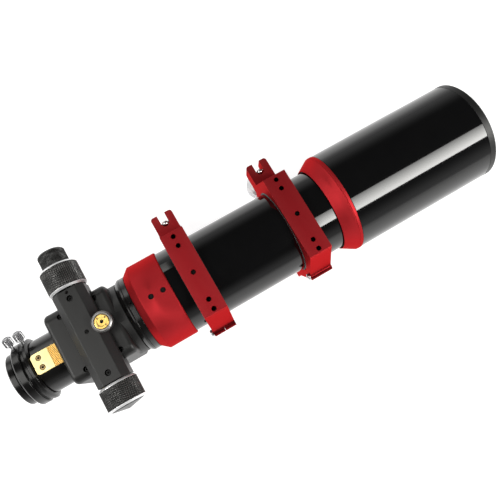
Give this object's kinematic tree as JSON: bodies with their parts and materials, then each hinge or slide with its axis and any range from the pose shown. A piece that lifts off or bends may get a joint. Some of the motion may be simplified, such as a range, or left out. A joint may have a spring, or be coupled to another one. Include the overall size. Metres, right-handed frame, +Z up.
{
  "type": "refractor telescope optical tube",
  "caption": "Refractor telescope tube with sliding dew shield, hinged mounting rings with swing-bolt clamps and a rotating rack-and-pinion focuser with fine and coarse knobs.",
  "frame": {"origin": "middle of the footprint, on the plane of the ring feet", "axes": "+X along the optical axis towards the sky, +Z up through the flats on top of the rings, +Y towards the ring clamps and the fine focus knob"},
  "size_m": [0.5368, 0.1694, 0.1205],
  "materials": {
    "black_gloss": "high-gloss black powder coat over aluminium tube",
    "black_satin": "satin black anodised machined aluminium",
    "red_anodised": "satin red anodised machined aluminium",
    "bare_aluminium": "bright turned and knurled aluminium",
    "stainless": "turned stainless steel",
    "brass": "lightly brushed brass",
    "lens_glass": "polished coated optical glass",
    "flock_black": "flat black anti-reflection paint",
    "felt": "thin black felt",
    "nylon": "natural nylon"
  },
  "bodies": {
    "optical_tube": {"main_tube": "black_gloss", "rear_collar": "red_anodised", "tube_baffle_1": "flock_black", "tube_baffle_2": "flock_black", "objective_cell": "black_satin", "flint_lens": "lens_glass", "crown_lens": "lens_glass", "lens_spacer": "brass", "lens_retaining_ring": "flock_black", "rotator_ring": "black_satin", "rear_ring_upper_half": "red_anodised", "rear_ring_lower_half": "red_anodised", "rear_ring_hinge_pin": "bare_aluminium", "rear_ring_liner_upper": "felt", "rear_ring_liner_lower": "felt", "front_ring_upper_half": "red_anodised", "front_ring_lower_half": "red_anodised", "front_ring_hinge_pin": "bare_aluminium", "front_ring_liner_upper": "felt", "front_ring_liner_lower": "felt"},
    "dew_shield": {"dew_shield_tube": "black_gloss", "dew_shield_front_ring": "black_satin", "dew_shield_cone": "red_anodised", "dew_shield_felt": "felt"},
    "rear_swing_bolt": {"rear_ring_swing_bolt": "stainless"},
    "rear_clamp_knob": {"rear_ring_clamp_knob": "bare_aluminium"},
    "front_swing_bolt": {"front_ring_swing_bolt": "stainless"},
    "front_clamp_knob": {"front_ring_clamp_knob": "bare_aluminium"},
    "focuser": {"focuser_body": "black_satin", "drawtube_glide_1": "nylon", "drawtube_glide_2": "nylon", "pinion_housing": "black_satin", "tension_screw": "stainless", "pinion_bearing_left": "stainless", "pinion_bearing_right": "stainless", "lock_pad": "nylon"},
    "coarse_focus": {"pinion_gear": "brass", "pinion_shaft": "stainless", "coarse_knob_left": "black_satin", "coarse_knob_cap": "black_satin", "coarse_knob_right": "black_satin", "reduction_ball_1": "stainless", "reduction_ball_2": "stainless", "reduction_ball_3": "stainless"},
    "fine_focus": {"fine_focus_knob": "black_satin"},
    "drawtube": {"drawtube": "black_satin", "focus_rack": "brass", "rack_screw_1": "brass", "rack_screw_2": "brass", "drawtube_flange": "black_satin"},
    "visual_back": {"visual_back": "black_satin", "compression_ring": "brass"},
    "eyepiece_thumbscrew": {"thumbscrew_eyepiece": "bare_aluminium"},
    "rotation_thumbscrew": {"thumbscrew_rotation": "bare_aluminium"},
    "focus_lock": {"focus_lock_knob": "bare_aluminium", "lock_knob_insert": "brass"}
  },
  "joints": [
    {"name": "dew_shield_slide", "type": "slide", "parent": "optical_tube", "child": "dew_shield", "axis": [1, 0, 0], "range_m": [0, 0.1]},
    {"name": "focuser_rotation", "type": "hinge", "parent": "optical_tube", "child": "focuser", "pos_m": [-0.14185, -0.00475, 0.0605], "axis": [1, 0, 0], "continuous": true},
    {"name": "drawtube_slide", "type": "slide", "parent": "focuser", "child": "drawtube", "axis": [-1, 0, 0], "range_m": [-0.024, 0.055]},
    {"name": "coarse_focus_turn", "type": "hinge", "parent": "focuser", "child": "coarse_focus", "pos_m": [-0.17935, -0.00475, 0.09725], "axis": [0, 1, 0], "range_deg": [-230, 526]},
    {"name": "fine_focus_turn", "type": "hinge", "parent": "focuser", "child": "fine_focus", "pos_m": [-0.17935, 0.07525, 0.09725], "axis": [0, 1, 0], "range_deg": [-2293, 5253]},
    {"name": "focus_lock_turn", "type": "hinge", "parent": "focuser", "child": "focus_lock", "pos_m": [-0.16185, -0.00475, 0.1165], "axis": [0, 0, 1], "range_deg": [0, 720]},
    {"name": "visual_back_rotation", "type": "hinge", "parent": "drawtube", "child": "visual_back", "pos_m": [-0.24785, -0.00475, 0.0605], "axis": [1, 0, 0], "continuous": true},
    {"name": "eyepiece_thumbscrew_turn", "type": "hinge", "parent": "visual_back", "child": "eyepiece_thumbscrew", "pos_m": [-0.25645, 0.02964, 0.08283], "axis": [0, 0.8387, 0.5446], "range_deg": [0, 1080]},
    {"name": "rotation_thumbscrew_turn", "type": "hinge", "parent": "drawtube", "child": "rotation_thumbscrew", "pos_m": [-0.24525, 0.02964, 0.08283], "axis": [0, 0.8387, 0.5446], "range_deg": [0, 1080]},
    {"name": "rear_bolt_swing", "type": "hinge", "parent": "optical_tube", "child": "rear_swing_bolt", "pos_m": [-0.06685, 0.06475, 0.0639], "axis": [1, 0, 0], "range_deg": [0, 95]},
    {"name": "rear_clamp_turn", "type": "hinge", "parent": "rear_swing_bolt", "child": "rear_clamp_knob", "pos_m": [-0.06685, 0.06475, 0.0155], "axis": [0, 0, 1], "range_deg": [0, 1080]},
    {"name": "front_bolt_swing", "type": "hinge", "parent": "optical_tube", "child": "front_swing_bolt", "pos_m": [0.04925, 0.06475, 0.0639], "axis": [1, 0, 0], "range_deg": [0, 95]},
    {"name": "front_clamp_turn", "type": "hinge", "parent": "front_swing_bolt", "child": "front_clamp_knob", "pos_m": [0.04925, 0.06475, 0.0155], "axis": [0, 0, 1], "range_deg": [0, 1080]}
  ],
  "couplings": [
    {"joint": "coarse_focus_turn", "follows": "drawtube_slide", "rad_per_m": 166.67},
    {"joint": "fine_focus_turn", "follows": "drawtube_slide", "rad_per_m": 1666.7}
  ]
}
